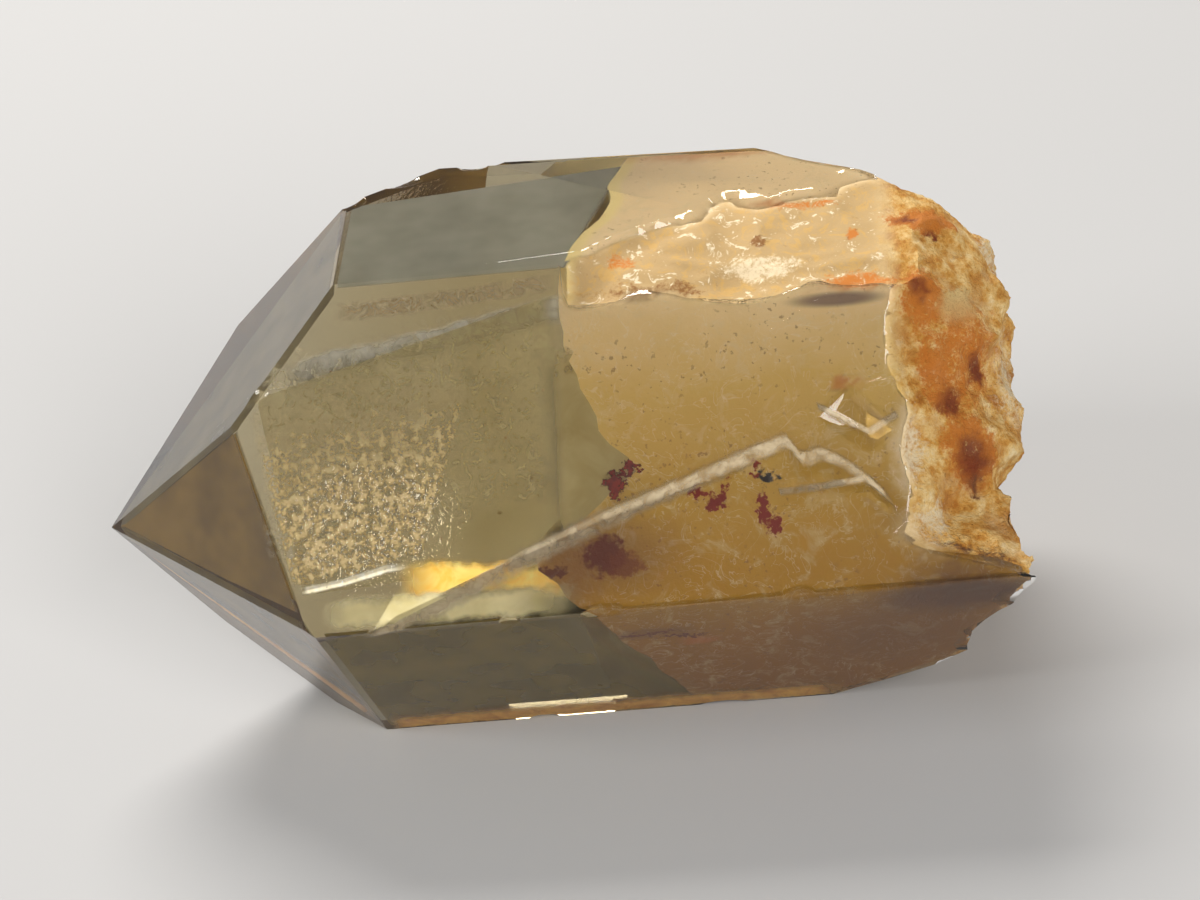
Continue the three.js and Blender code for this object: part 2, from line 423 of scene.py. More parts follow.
def veil_reach(y, z):
    """Where the veil stands, in millimetres from the tip, over a point of the cross section."""
    line = VEIL_LINE[0][1] if z < VEIL_LINE[0][0] else VEIL_LINE[-1][1]
    for (low, at_low), (high, at_high) in zip(VEIL_LINE, VEIL_LINE[1:]):
        if low <= z < high:
            line = at_low + (at_high - at_low) * smooth(low, high, z)
    inside = smooth(0.4, 5.0, under_fronts(y, z)) * smooth(13.2, 11.0, z)
    top = 0.26 * max(0.0, y - 1.4) * smooth(9.0, 12.5, z)
    wide_wave = noise.noise(Vector((y / 4.5, z / 4.5, 3.1)))
    fine_wave = noise.noise(Vector((y, z, 7.0)) / 1.4)
    back_wave = 3.2 * noise.noise(Vector((y / 7, z / 7, 1.7))) + 0.17 * (z - 1) - 0.5
    behind = smooth(5.0, 11.0, y) * back_wave * smooth(13.0, 10.0, z)
    return line + (VEIL_INSIDE - line) * inside + top + (0.7 * wide_wave + 0.3 * fine_wave) + behind


deselect_all()
bpy.ops.mesh.primitive_cube_add(size=1, location=from_tip(*VEIL_BLOCK_CENTER))
veil_block = bpy.context.object
veil_block.name = "veil_block"
veil_block.scale = VEIL_BLOCK_SIZE
bpy.ops.object.transform_apply(location=True, rotation=True, scale=True)
work_on(veil_block, "SELECT")
bpy.ops.mesh.subdivide(number_cuts=VEIL_BLOCK_CUTS)
done()
for vertex in veil_block.data.vertices:
    here = to_tip(vertex.co)
    if here.x < VEIL_MOVES_BEFORE:
        share = (VEIL_MOVES_BEFORE - here.x) / (VEIL_MOVES_BEFORE - VEIL_BLOCK_START)
        reach = VEIL_MOVES_BEFORE - share * (VEIL_MOVES_BEFORE - veil_reach(here.y, here.z))
        vertex.co.x = tip.x + reach / 1000
cut = heart.modifiers.new("veil", "BOOLEAN")
cut.operation = "INTERSECT"
cut.solver = "MANIFOLD"
cut.object = veil_block
apply_modifiers(heart)
bpy.data.objects.remove(veil_block)


def on_veil_wall(place):
    """One on the veil's own wall, inside the crystal, and nought elsewhere."""
    here = to_tip(place)
    near_veil = smooth(0.9, 0.4, abs(here.x - veil_reach(here.y, here.z)))
    return near_veil * smooth(0.4, 1.0, under_fronts(here.y, here.z))


def crumb_depth(place):
    """How deep the crumbly break is pitted, in metres."""
    ridges = noise.turbulence(
        place * 420, 4, True, noise_basis="PERLIN_ORIGINAL", amplitude_scale=0.6, frequency_scale=2.3,
    )
    cells = noise.voronoi(place * 1300)[0][0]
    return RIDGE_DEPTH * ridges + CELL_DEPTH * cells


def crumbs_and_flakes(place, bare):
    """Crumbs on the break and fine flakes along the spall, where the stone is bare."""
    end = smooth(*CRUMBLY_END, place.x - tip.x)
    flakes = abs(noise.noise(Vector((place.x * 350, place.y * 900, place.z * 900)))) * FLAKE_DEPTH
    return bare * (flakes * (1 - end) + crumb_depth(place) * end)


record("veil_wall", on_veil_wall)
sink_heart(crumbs_and_flakes)
shade(heart, HEART_SHARP)
record("pitted", lambda place: crumb_depth(place) / DEEP_PIT)

RUST = (0.54, 0.17, 0.02)
HEMATITE = (0.22, 0.012, 0.001)
DEEP_RED = (0.15, 0.014, 0.005)
BROWN = (0.24, 0.10, 0.025)
DARK_BROWN = (0.17, 0.04, 0.005)
PURPLE_BROWN = (0.10, 0.035, 0.02)
PALE = (0.80, 0.66, 0.44)
NEAR_BLACK = (0.02, 0.012, 0.01)
BROAD_STAINS_AND_SHADE = (  # centre and size in millimetres, edge, strength, colour
    ((32.0, 12.2, 13.4), (4.0, 0.8, 0.8), 0.5, 0.6, RUST),  # the top's far edge
    ((37.3, 6.4, 13.3), (2.6, 0.35, 0.8), 0.5, 0.75, RUST),
    ((39.6, 4.3, 12.5), 0.4, 0.4, 0.9, RUST),
    ((35.0, 3.6, 12.7), (0.5, 0.35, 0.4), 0.4, 0.9, BROWN),
    ((28.2, 2.5, 12.6), (0.9, 0.6, 0.5), 0.5, 0.6, RUST),
    ((35.0, 2.2, 12.0), (2.2, 0.7, 0.7), 0.5, 0.7, PALE),
    ((30.5, 0.9, 11.8), (4.4, 0.5, 0.35), 0.5, 0.6, BROWN),
    ((40.0, 1.1, 11.6), (1.9, 0.7, 0.4), 0.5, 0.8, RUST),
    ((43.2, 5.4, 12.6), (1.9, 0.7, 1.2), 0.4, 0.95, RUST),  # the channel at the top of the break
    ((42.3, 5.3, 12.7), (0.7, 0.3, 0.5), 0.4, 0.9, DEEP_RED),
    ((43.9, 4.8, 11.9), (0.6, 0.3, 0.5), 0.4, 0.9, DEEP_RED),
    ((44.5, 6.0, 12.0), (1.3, 0.45, 0.8), 0.4, 0.9, RUST),
    ((43.2, 1.0, 10.4), (1.5, 1.6, 1.6), 0.5, 0.9, RUST),  # the break, from its top down
    ((43.2, 1.1, 10.9), (0.9, 0.6, 0.7), 0.4, 0.85, DEEP_RED),
    ((44.9, 1.9, 9.2), (1.2, 1.3, 0.8), 0.4, 0.9, (0.66, 0.50, 0.22)),
    ((45.3, 0.4, 6.9), (3.0, 2.6, 2.6), 0.6, 0.75, RUST),
    ((45.5, 1.2, 5.7), (0.9, 0.6, 0.8), 0.4, 0.9, DEEP_RED),
    ((44.2, -1.3, 5.5), (1.0, 0.8, 0.9), 0.4, 0.85, DEEP_RED),
    ((45.2, -2.2, 3.2), (1.9, 1.4, 2.0), 0.5, 0.95, RUST),
    ((45.3, -2.4, 2.9), (1.3, 0.9, 1.3), 0.45, 0.9, DEEP_RED),
    ((45.3, -3.2, 1.7), (0.7, 0.7, 0.6), 0.4, 0.95, PURPLE_BROWN),
    ((43.3, -0.9, 6.9), (0.8, 1.2, 1.6), 0.5, 0.8, RUST),
    ((46.3, 0.9, 7.4), (0.6, 0.9, 0.9), 0.4, 0.7, RUST),
    ((42.0, -4.4, 5.0), (0.9, 2.2, 2.4), 0.5, 0.7, PALE),
    ((43.4, -6.0, 1.5), (2.2, 1.6, 0.9), 0.5, 0.6, PALE),
    ((47.3, 4.0, 3.6), (1.2, 3.6, 2.4), 0.6, 0.55, PALE),
    ((46.5, 9.5, 7.0), (1.6, 2.0, 3.0), 0.5, 0.6, PALE),
    ((27.1, -7.4, 1.7), (3.0, 1.6, 1.8), 0.7, 0.6, BROWN),  # under the front faces
    ((30.0, -7.9, 1.1), 0.4, 0.4, 0.8, RUST),
    ((28.6, -7.5, -3.2), (2.6, 0.8, 0.55), 0.5, 0.6, BROWN),
    ((30.8, -6.8, -4.2), (1.0, 0.6, 0.5), 0.5, 0.7, RUST),
    ((39.0, -2.3, 7.8), (0.9, 0.35, 0.5), 0.5, 0.75, RUST),
    ((38.2, -7.9, 0.8), (0.4, 0.3, 0.3), 0.5, 0.7, BROWN),
    # Painted shade over brown stone: the shaded end of the lower face is darkened.
    ((44.0, -7.2, -1.5), (3.6, 1.6, 2.0), 0.5, 0.85, PURPLE_BROWN),  # the foot's end
    ((41.5, -6.0, -5.0), (5.0, 2.5, 4.5), 0.7, 0.6, BROWN),
    ((24.6, -7.2, 0.6), (1.6, 2.0, 2.6), 0.6, 0.7, BROWN),  # foot of the veil
)
SHARP_STAINS = (  # the small ones with a crisp outline, under the front faces
    ((31.4, -5.75, 3.95), (0.85, 0.6, 0.26), 0.2, 1.0, HEMATITE),
    ((32.35, -6.0, 3.5), (0.62, 0.6, 0.42), 0.2, 1.0, HEMATITE),
    ((32.8, -5.6, 4.2), (0.3, 0.6, 0.55), 0.2, 1.0, HEMATITE),
    ((34.35, -5.1, 4.7), (0.34, 0.6, 0.42), 0.2, 1.0, HEMATITE),
    ((34.95, -5.35, 4.35), (0.62, 0.6, 0.42), 0.2, 1.0, NEAR_BLACK),
    ((34.6, -6.2, 3.1), (0.34, 0.7, 0.7), 0.2, 1.0, HEMATITE),
    ((35.05, -6.75, 2.35), (0.45, 0.6, 0.4), 0.2, 1.0, HEMATITE),
    ((26.7, -7.5, 1.75), (1.0, 1.2, 0.95), 0.28, 0.97, (0.13, 0.020, 0.004)),  # the dark cloud
    ((27.6, -7.8, 1.25), (1.0, 1.0, 0.6), 0.28, 0.8, (0.18, 0.035, 0.006)),
    ((24.0, -8.0, 1.1), (0.9, 0.6, 0.3), 0.25, 0.95, (0.12, 0.025, 0.005)),
    ((28.3, -7.5, -3.3), (1.7, 0.8, 0.15), 0.28, 0.9, DARK_BROWN),
    ((30.0, -7.1, -3.75), (1.4, 0.8, 0.13), 0.28, 0.9, DARK_BROWN),
)
BROAD_WARP = (0.8, 0.35)  # scale and reach of the noise that makes their outlines ragged
FINE_WARP = (2.9, 0.28)
NOISE_SEED = 7  # without it noise_vector would change from run to run
noise.seed_set(NOISE_SEED)


def stain_and_shade_at(place):
    """The colour of the broad stains and painted shade at a place on the heart, and how much of it covers.
    """
    here = to_tip(place)
    broad, fine = (noise.noise_vector(here * scale) * reach for scale, reach in (BROAD_WARP, FINE_WARP))
    here += broad + fine
    mix = [0.0, 0.0, 0.0, 0.0]
    for center, size, edge, strength, color in BROAD_STAINS_AND_SHADE:
        away = math.sqrt(sum(((a - b) / c) ** 2 for a, b, c in zip(here, center, three_sizes(size))))
        if away < 1 + edge:
            share = strength * smooth(1 + edge, 1 - edge, away)
            cover = share + mix[3] * (1 - share)
            for axis in range(3):
                mix[axis] = (color[axis] * share + mix[axis] * mix[3] * (1 - share)) / max(cover, 1e-6)
            mix[3] = cover
    return mix


stains_and_shade = heart.data.attributes.new("stains_and_shade", "FLOAT_COLOR", "POINT")
for vertex, value in zip(heart.data.vertices, stains_and_shade.data):
    value.color = stain_and_shade_at(vertex.co)

# Partly the stone's own colour and partly painted light: lighter at the lit top and darker at the shaded
# foot.
MILKY_TONES_AND_TOP_LIGHT = (  # amber at the foot, and cream at the top
    (0.0, (0.32, 0.12, 0.004)), (0.3, (0.40, 0.17, 0.004)), (0.46, (0.46, 0.235, 0.012)),
    (0.62, (0.56, 0.33, 0.05)), (0.78, (0.68, 0.45, 0.12)), (0.93, (0.84, 0.63, 0.34)),
)
CRUST_TONES = (
    (0.34, (0.42, 0.15, 0.015)), (0.46, (0.62, 0.31, 0.06)),
    (0.57, (0.78, 0.52, 0.20)), (0.70, (0.88, 0.70, 0.40)),
)
MILKY_HAZE = (0.72, 0.56, 0.30)
HEALED_CRACK = (0.80, 0.66, 0.42)
PAINTED_LIGHT_ON_VEIL_WALL = (0.86, 0.68, 0.27)
RUST_AND_SHADE_IN_PITS = (0.46, 0.19, 0.04)
SPALL_STONE = (0.42, 0.27, 0.11)
SPALL_FLAKE = (0.60, 0.36, 0.10)
SPALL_GLINT = (0.88, 0.76, 0.54)
WEDGE_SHADE = (0.17, 0.10, 0.075)

milky, tree, shader = new_material("milky_citrine")
place = millimetres(tree)
axes = add(tree, "SeparateXYZ", Vector=place).outputs
cloudy = grain(tree, place, 0.33, 3, 0.6)
lifted = reckon(tree, "ADD", axes["Z"], times(tree, cloudy, 3.0))
height = add(tree, "MapRange", n0=lifted, n1=-10.0, n2=15.0).outputs[0]
# Painted light in part: the heart's tone rises with its height.
tone = ramp(tree, height, MILKY_TONES_AND_TOP_LIGHT)
haze = between(tree, grain(tree, place, 0.7, 4, 0.65, 1.2), 0.5, 0.72, 0.0, 0.45)
tone = tinted(tree, tone, MILKY_HAZE, haze)
off_crack = reckon(tree, "ABSOLUTE", reckon(tree, "SUBTRACT", grain(tree, place, 0.42, 3, 0.6, 2.0), 0.5))
tone = tinted(tree, tone, HEALED_CRACK, between(tree, off_crack, 0.0, 0.012, 0.42, 0.0))
specks = between(tree, grain(tree, place, 3.0, 2, 0.6), 0.62, 0.70, 0.0, 0.6)
tone = tinted(tree, tone, BROWN, times(tree, specks, between(tree, cloudy, 0.42, 0.6)))
# Painted light: the veil's wall inside the crystal is lightened, so that its recess shows no shade.
tone = tinted(tree, tone, PAINTED_LIGHT_ON_VEIL_WALL, times(tree, attribute(tree, "veil_wall"), 0.9))

bare = attribute(tree, "bare_stone")
end = times(tree, bare, between(tree, axes["X"], 40.6, 42.2))
crust = ramp(tree, grain(tree, place, 0.9, 5, 0.7), CRUST_TONES)
# Partly rust and partly painted shade: the deeper pits of the break are darker.
crust = tinted(tree, crust, RUST_AND_SHADE_IN_PITS, between(tree, attribute(tree, "pitted"), 0.5, 1.0, 0.0, 0.7))
tone = tinted(tree, tone, crust, end)
spalled = reckon(tree, "SUBTRACT", bare, end)
crumbly = grain(tree, place, 1.1, 5, 0.72, 0.8)
tone = tinted(tree, tone, SPALL_STONE, times(tree, spalled, 0.85))
tone = tinted(tree, tone, SPALL_FLAKE, times(tree, spalled, between(tree, crumbly, 0.50, 0.62, 0.0, 0.6)))
tone = tinted(tree, tone, SPALL_GLINT, times(tree, spalled, between(tree, crumbly, 0.42, 0.36, 0.0, 0.8)))

soft_cover = attribute(tree, "stains_and_shade", "Alpha")
crumbs = grain(tree, place, 5.5, 3, 0.7)
rough = reckon(tree, "MULTIPLY_ADD", crumbly, 1.7, reckon(tree, "MULTIPLY_ADD", crumbs, 1.3, -1.5))
spread = between(tree, reckon(tree, "ADD", soft_cover, rough), 0.25, 0.85, 0.0, 0.94)
flecked_cover = times(tree, spread, between(tree, soft_cover, 0.03, 0.3))
cover = add(tree, "Mix", {"data_type": "FLOAT"}, n0=bare, n2=soft_cover, n3=flecked_cover).outputs[0]
tone = tinted(tree, tone, attribute(tree, "stains_and_shade", "Color"), cover)
loose = ragged(tree, place, 0.9, 1.2)
for center, size, edge, strength, color in SHARP_STAINS:
    tone = tinted(tree, tone, color, patch(tree, loose, center, size, edge, strength))
wedge = patch(tree, place, (38.9, -0.1, 11.0), (2.5, 0.8, 0.34), 0.3, 0.85)
tone = tinted(tree, tone, WEDGE_SHADE, wedge)
set_inputs(tree, shader, {
    "Base Color": tone, "Roughness": between(tree, bare, 0.0, 1.0, 0.42, 0.78), "Specular IOR Level": 0.35,
})
dented(tree, shader, times(tree, crumbs, reckon(tree, "MULTIPLY_ADD", end, 0.22, 0.03)))


def finish(piece, material):
    piece.data.materials.clear()
    piece.data.materials.append(material)
    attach(piece, "root")


finish(heart, milky)

# The frosted steps: the long slope of the growth plate across the front, the thin bar on it,
# the side of the notch and the ledge beside the tip. Growth left them finely ridged and dull.
# The ledge's near-white is partly frosting and partly a painted highlight on its lit step.
FRONT = Vector((0.0252, -0.809, 0.5872))
FRONT_REACH = 7.426
SAME_WAY = 0.06  # radians
BEHIND = 1e-5
SHEET_MARGIN = 0.00007
SHEET_THICKNESS = 0.03  # mm
SHEET_SHARP = math.radians(40)


def under_front(x, z, depth):
    """A place under the upper front face, from its distance along the crystal and its height."""
    return Vector((x, (FRONT.x * x + FRONT.z * z - FRONT_REACH + depth) / -FRONT.y, z))


def lies_behind(normal, center):
    """Whether a step's face lies behind another that faces the same way."""
    return any(
        other.angle(normal) < SAME_WAY and normal.dot(place - center) > BEHIND
        for other, place in flat_faces
    )


outer_faces = [(normal, center) for normal, center in flat_faces if not lies_behind(normal, center)]


def held_inside(place, margin):
    """The place, moved in where it is nearer than the margin to a face or outside it."""
    for _ in range(3):
        for normal, center in outer_faces:
            outside = normal.dot(place - center) + margin
            if outside > 0:
                place = place - normal * outside
    return place


def sheet(name, columns, rows, place_at, thickness=SHEET_THICKNESS, margin=SHEET_MARGIN):
    """A thin closed sheet. place_at gives millimetres from the tip for 0 to 1 along and across."""
    deselect_all()
    bpy.ops.mesh.primitive_grid_add(x_subdivisions=columns, y_subdivisions=rows, size=1, location=(0, 0, 0))
    piece = bpy.context.object
    piece.name = name
    for vertex in piece.data.vertices:
        vertex.co = held_inside(from_tip(*place_at(vertex.co.x + 0.5, vertex.co.y + 0.5)), margin)
    solid = piece.modifiers.new("thickness", "SOLIDIFY")
    solid.thickness = thickness / 1000
    solid.offset = 0
    apply_modifiers(piece)
    shade(piece, SHEET_SHARP)
    return piece


def along(points, share):
    """A place on a line of points, at a share of its length."""
    points = [Vector(point) for point in points]
    lengths = [(b - a).length for a, b in zip(points, points[1:])]
    left = share * sum(lengths)
    for a, b, length in zip(points, points[1:], lengths):
        if left <= length:
            return a.lerp(b, left / length)
        left -= length
    return points[-1]


def film(name, tones, scale, cover, most, fade=(0.1, 0.1, 0.25, 0.25), warp=0.5, roughness=0.5):
    """A wispy material: tones by noise, and cover as the low and high of the noise that shows.

    fade is how far it takes to come in from the near end, the far end, the one side and the other."""
    material, tree, shader = new_material(name)
    place = millimetres(tree)
    wisps = grain(tree, place, scale, 3, 0.65, warp)
    across = add(tree, "SeparateXYZ", Vector=add(tree, "UVMap").outputs["UV"]).outputs
    wobble = times(tree, reckon(tree, "SUBTRACT", grain(tree, place, 1.3, 4), 0.5), 0.35)
    u, v = across["X"], reckon(tree, "ADD", across["Y"], wobble)
    shape = between(tree, wisps, cover[0], cover[1], 0.0, most)
    shape = times(tree, shape, between(tree, u, 0.0, fade[0]))
    shape = times(tree, shape, between(tree, u, 1.0 - fade[1], 1.0, 1.0, 0.0))
    shape = times(tree, shape, between(tree, v, 0.0, fade[2]))
    shape = times(tree, shape, between(tree, v, 1.0 - fade[3], 1.0, 1.0, 0.0))
    color = ramp(tree, wisps, ((0.3, tones[0]), (0.68, tones[1])))
    set_inputs(tree, shader, {"Base Color": color, "Alpha": shape, "Roughness": roughness})
    return material


PLATE_SLOPE = (
    (14.2, -1.0), (16.0, 0.05), (21.2, 1.75), (26.5, 3.45), (31.2, 4.75), (35.8, 6.05), (36.5, 5.2),
    (37.5, 5.4), (38.5, 4.95), (39.8, 4.1), (40.7, 3.3), (41.2, 2.7),
)
BAR = ((35.4, 3.75), (37.6, 3.85), (39.7, 4.05), (40.7, 3.3))
NOTCH_SIDE = ((37.5, 6.85), (38.8, 6.25), (40.0, 5.65), (41.5, 6.3))
LEDGE = ((11.35, 0.95), (13.6, 1.22), (15.7, 1.62), (17.2, 1.75))
FROST_TONES = ((0.56, 0.42, 0.24), (0.78, 0.65, 0.44))
LEDGE_TONES_AND_HIGHLIGHT = ((0.85, 0.74, 0.46), (0.98, 0.93, 0.78))


def slope_place(u, v):
    """The plate's slope, which is widest at its low end and leans in as it goes down."""
    x, z = along(PLATE_SLOPE, u)
    wide = 1.55 - 0.85 * u
    return under_front(x + 0.26 * v * wide, z - 0.80 * v * wide, 0.08 - 0.30 * v)


def strip(line, width, depth_high, depth_low):
    """A narrow strip along a line, from its upper to its lower depth."""
    def place_at(u, v):
        x, z = along(line, u)
        drop = (v - 0.5) * width
        return under_front(x + 0.3 * drop, z - drop, depth_high + (depth_low - depth_high) * v)
    return place_at


frost = film("frosted_growth", FROST_TONES, 1.2, (0.1, 0.65), 0.52, (0.02, 0.06, 0.4, 0.45))
finish(sheet("frosted_slope", 120, 6, slope_place), frost)
finish(sheet("frosted_bar", 40, 4, strip(BAR, 0.42, -0.32, -0.32)), frost)
finish(sheet("notch_side", 40, 4, strip(NOTCH_SIDE, 0.42, 0.12, 0.12)), frost)
# Partly frosting and partly a painted highlight: the near-white tones show the step as brightly lit.
ledge_and_highlight = film("frosted_ledge_and_highlight", LEDGE_TONES_AND_HIGHLIGHT, 3.0, (0.25, 0.36), 1.0, (0.08, 0.3, 0.25, 0.25))
finish(sheet("tip_ledge", 60, 4, strip(LEDGE, 0.34, 0.06, 0.0)), ledge_and_highlight)

# The etched patch: acid solutions pitted the front face beside the tip into fine golden grains, and the
# brightest gold on them is a painted highlight, for light sparkling in the pits. They are thickest above
# the ledge and thin out towards the top, with pale dust around them.
ETCHED_LOW = ((10.9, 1.15), (13.6, 1.3), (15.8, 1.75), (17.7, 2.1))
ETCHED_HIGH = ((8.6, 9.6), (21.5, 10.6))
ETCHED_TONES_AND_SPARKLE = ((0.62, 0.38, 0.08), (1.0, 0.84, 0.46))
DUST_TONES = ((0.50, 0.38, 0.16), (0.82, 0.72, 0.46))


def etched_place(u, v):
    x, z = along(ETCHED_LOW, u).lerp(along(ETCHED_HIGH, u), v)
    return under_front(x, z, 0.07)


def dusty_place(u, v):
    x = 9.2 + 15.5 * u
    return under_front(x, 1.9 + 8.6 * v + 0.12 * (x - 9), 0.11)


# Painted highlight: the bright gold stands for light sparkling in the etched pits.
etching_and_sparkle = film("golden_etching_and_sparkle", ETCHED_TONES_AND_SPARKLE, 2.7, (0.38, 0.58), 0.92, (0.04, 0.06, 0.03, 0.78), 0.2, 0.3)
finish(sheet("etched_patch_and_sparkle", 40, 30, etched_place), etching_and_sparkle)
dusty = film("growth_dust", DUST_TONES, 1.5, (0.44, 0.66), 0.55, (0.1, 0.1, 0.1, 0.2), 1.8)
finish(sheet("growth_dust", 30, 20, dusty_place), dusty)

# Veils: healed cracks full of minute bubbles. A greyish one follows the edge under the top face,
# and a brown one lies above it.
EDGE_VEIL = ((10.9, 10.1), (13.0, 10.7), (16.0, 11.0), (19.5, 11.45), (22.5, 11.9), (25.3, 12.3))
BROWN_VEIL = ((13.6, 12.0), (19.5, 12.2), (25.0, 12.6))
GREY_TONES = ((0.60, 0.55, 0.42), (0.90, 0.86, 0.72))
BROWN_TONES = ((0.34, 0.22, 0.09), (0.58, 0.45, 0.24))


def edge_veil_place(u, v):
    x, z = along(EDGE_VEIL, u)
    return under_front(x, z - 0.1 - 1.7 * v, 0.2 + 0.6 * v)


def brown_veil_place(u, v):
    x, z = along(BROWN_VEIL, u)
    return under_front(x, z + 0.9 * (v - 0.5), 0.2)


grey_veil = film("grey_veil", GREY_TONES, 0.9, (0.22, 0.5), 0.72, (0.08, 0.05, 0.3, 0.5), 1.2)
finish(sheet("edge_veil", 60, 6, edge_veil_place), grey_veil)
brown_veil = film("brown_veil", BROWN_TONES, 1.4, (0.36, 0.6), 0.6, (0.1, 0.1, 0.3, 0.3), 1.0)
finish(sheet("brown_veil", 50, 5, brown_veil_place), brown_veil)

# Iron stain: rust that crept in along the lower edges and a red spot above the growth plate. On the
# low front, a painted glow and a pale painted window stand for the light that comes through the stained
# stone and turns golden.
LOWER_FRONT = Vector((0.0417, -0.8736, -0.4849))
LOWER_FRONT_DISTANCE = 9.27
LOWER_RHOMB = Vector((-0.574, -0.6796, -0.4567))
LOWER_RHOMB_EDGE = Vector((13.1, -3.5, -11.25))
ALONG_RHOMB_EDGE = Vector((13.4, -3.59, -11.5))
RUST_TONES = ((0.62, 0.25, 0.02), (0.95, 0.55, 0.10))
PAINTED_GLOW_TONES = ((1.0, 0.50, 0.03), (1.0, 0.78, 0.22))
PAINTED_LIGHT_WINDOW_TONES = ((0.74, 0.62, 0.27), (0.95, 0.84, 0.48))
SPOT_TONES = ((0.35, (0.12, 0.006, 0.001)), (0.65, (0.27, 0.02, 0.002)))


def foot_rust_place(u, v):
    x, z = 13.7 + 24.5 * u, -11.45 + 1.6 * v
    across = LOWER_FRONT.x * x + LOWER_FRONT.z * z - LOWER_FRONT_DISTANCE + 0.1
    return Vector((x, across / -LOWER_FRONT.y, z))


def rhomb_rust_place(u, v):
    edge = LOWER_RHOMB_EDGE * (0.12 + 0.86 * u)
    inward = LOWER_RHOMB.cross(ALONG_RHOMB_EDGE).normalized()
    if inward.z < 0:
        inward = -inward
    return edge + inward * (0.05 + 2.6 * u * v) - LOWER_RHOMB * 0.1


def painted_glow_place(u, v):
    return under_front(16.0 + 10.4 * u, 0.15 - 0.35 * u + (2.0 - 0.5 * u) * v, 0.0)


def red_spot_place(u, v):
    return under_front(26.0 + 3.2 * u, 3.2 + 2.5 * v, 0.12)


def painted_light_window_place(u, v):
    return under_front(12.2 + 13.8 * u, -0.75 + 1.5 * v, -0.05)


rust = film("edge_rust", RUST_TONES, 0.9, (0.0, 0.3), 0.95, (0.04, 0.1, 0.01, 0.6), 0.8)
finish(sheet("foot_edge_rust", 60, 5, foot_rust_place), rust)
finish(sheet("rhomb_edge_rust", 50, 5, rhomb_rust_place), rust)
# Painted glow: golden light on the low front, for light through the stained stone.
painted_glow = film("painted_golden_glow", PAINTED_GLOW_TONES, 0.7, (0.1, 0.35), 1.0, (0.25, 0.25, 0.3, 0.3), 0.8)
finish(sheet("low_front_painted_glow", 40, 8, painted_glow_place), painted_glow)

red_spot, tree, shader = new_material("red_spot")
place = millimetres(tree)
loose = ragged(tree, place, 1.1, 1.3)
blob = patch(tree, loose, (27.35, -5.2, 4.3), (0.5, 0.8, 0.45), 0.2)
arm = patch(tree, loose, (28.15, -4.85, 4.9), (0.6, 0.8, 0.24), 0.2)
set_inputs(tree, shader, {
    "Alpha": reckon(tree, "MAXIMUM", blob, arm),
    "Base Color": ramp(tree, grain(tree, place, 3.0), SPOT_TONES),
})
finish(sheet("red_spot", 24, 16, red_spot_place), red_spot)
# Painted light: a pale golden pane on the low front, for light through the stained stone.
painted_light_window = film("painted_pale_light", PAINTED_LIGHT_WINDOW_TONES, 0.45, (0.0, 0.35), 0.92, (0.12, 0.35, 0.3, 0.4), 0.3)
finish(sheet("low_front_painted_light", 40, 8, painted_light_window_place), painted_light_window)

# Haze: thin films of minute bubbles just under the faces of the clear half. They take the
# mirror out of it, grey-green under the top face and golden brown at the tip. Beside the veil,
# one more film is painted light, laid over the recess so that it shows no shade.
TIP_CORNER = (0, 0, 0)
HAZE_DEPTH = 0.0004
HAZE_THICKNESS = 0.02  # mm
HAZES = (  # name, four corners in millimetres, two tones, cover, share at which the far end fades
    ("top_haze", ((13.9, 1.2, 13.2), (25.5, 1.6, 13.3), (28.1, 11.4, 13.3), (13.7, 9.2, 13.2)),
     ((0.27, 0.25, 0.17), (0.36, 0.34, 0.25)), 0.72, 0.97),
    ("tip_haze", (TIP_CORNER, (8.24, -3.23, 7.84), (11.3, -8.6, 0.0), (0.2, -0.15, 0.0)),
     ((0.20, 0.11, 0.008), (0.36, 0.21, 0.025)), 0.72, 0.97),
    ("upper_tip_haze", (TIP_CORNER, (13.46, 9.3, 13.1), (13.6, 0.9, 13.1), (8.2, -3.1, 7.8)),
     ((0.13, 0.095, 0.035), (0.23, 0.18, 0.08)), 0.72, 0.97),
    ("lower_tip_haze", (TIP_CORNER, (11.3, -9.1, -0.6), (13.3, -3.6, -11.3), (0.3, -0.1, -0.25)),
     ((0.12, 0.075, 0.01), (0.24, 0.16, 0.03)), 0.72, 0.97),
    ("low_side_haze", ((12.3, -9.3, -1.2), (26.5, -8.6, -1.0), (33.5, -3.2, -11.3), (13.6, -3.6, -11.3)),
     ((0.18, 0.12, 0.008), (0.32, 0.22, 0.025)), 0.66, 0.7),
    ("front_haze", ((9.6, -2.6, 9.0), (25.2, 0.6, 12.2), (24.6, -7.4, 1.6), (11.5, -8.2, 0.8)),
     ((0.50, 0.37, 0.10), (0.68, 0.54, 0.22)), 0.38, 0.9),
)
PAINTED_LIGHT_BESIDE_VEIL_TONES = ((0.52, 0.38, 0.12), (0.66, 0.52, 0.22))
ALL_OVER = (-1.0, -0.5)  # noise is always above these, so the film has no gaps


def on_quad(corners):
    """A place on the quad between four corners, for 0 to 1 along and across."""
    near_start, near_end, far_end, far_start = (Vector(corner) for corner in corners)
    return lambda u, v: near_start.lerp(near_end, u).lerp(far_start.lerp(far_end, u), v)


for name, corners, tones, cover, far in HAZES:
    haze_film, tree, shader = new_material(name)
    clouds = grain(tree, millimetres(tree), 0.35, 2)
    run = add(tree, "SeparateXYZ", Vector=add(tree, "UVMap").outputs["UV"]).outputs["X"]
    set_inputs(tree, shader, {
        "Base Color": ramp(tree, clouds, ((0.3, tones[0]), (0.7, tones[1]))),
        "Alpha": between(tree, run, far, 1.0, cover, 0.0),
    })
    finish(sheet(name, 24, 24, on_quad(corners), HAZE_THICKNESS, HAZE_DEPTH), haze_film)


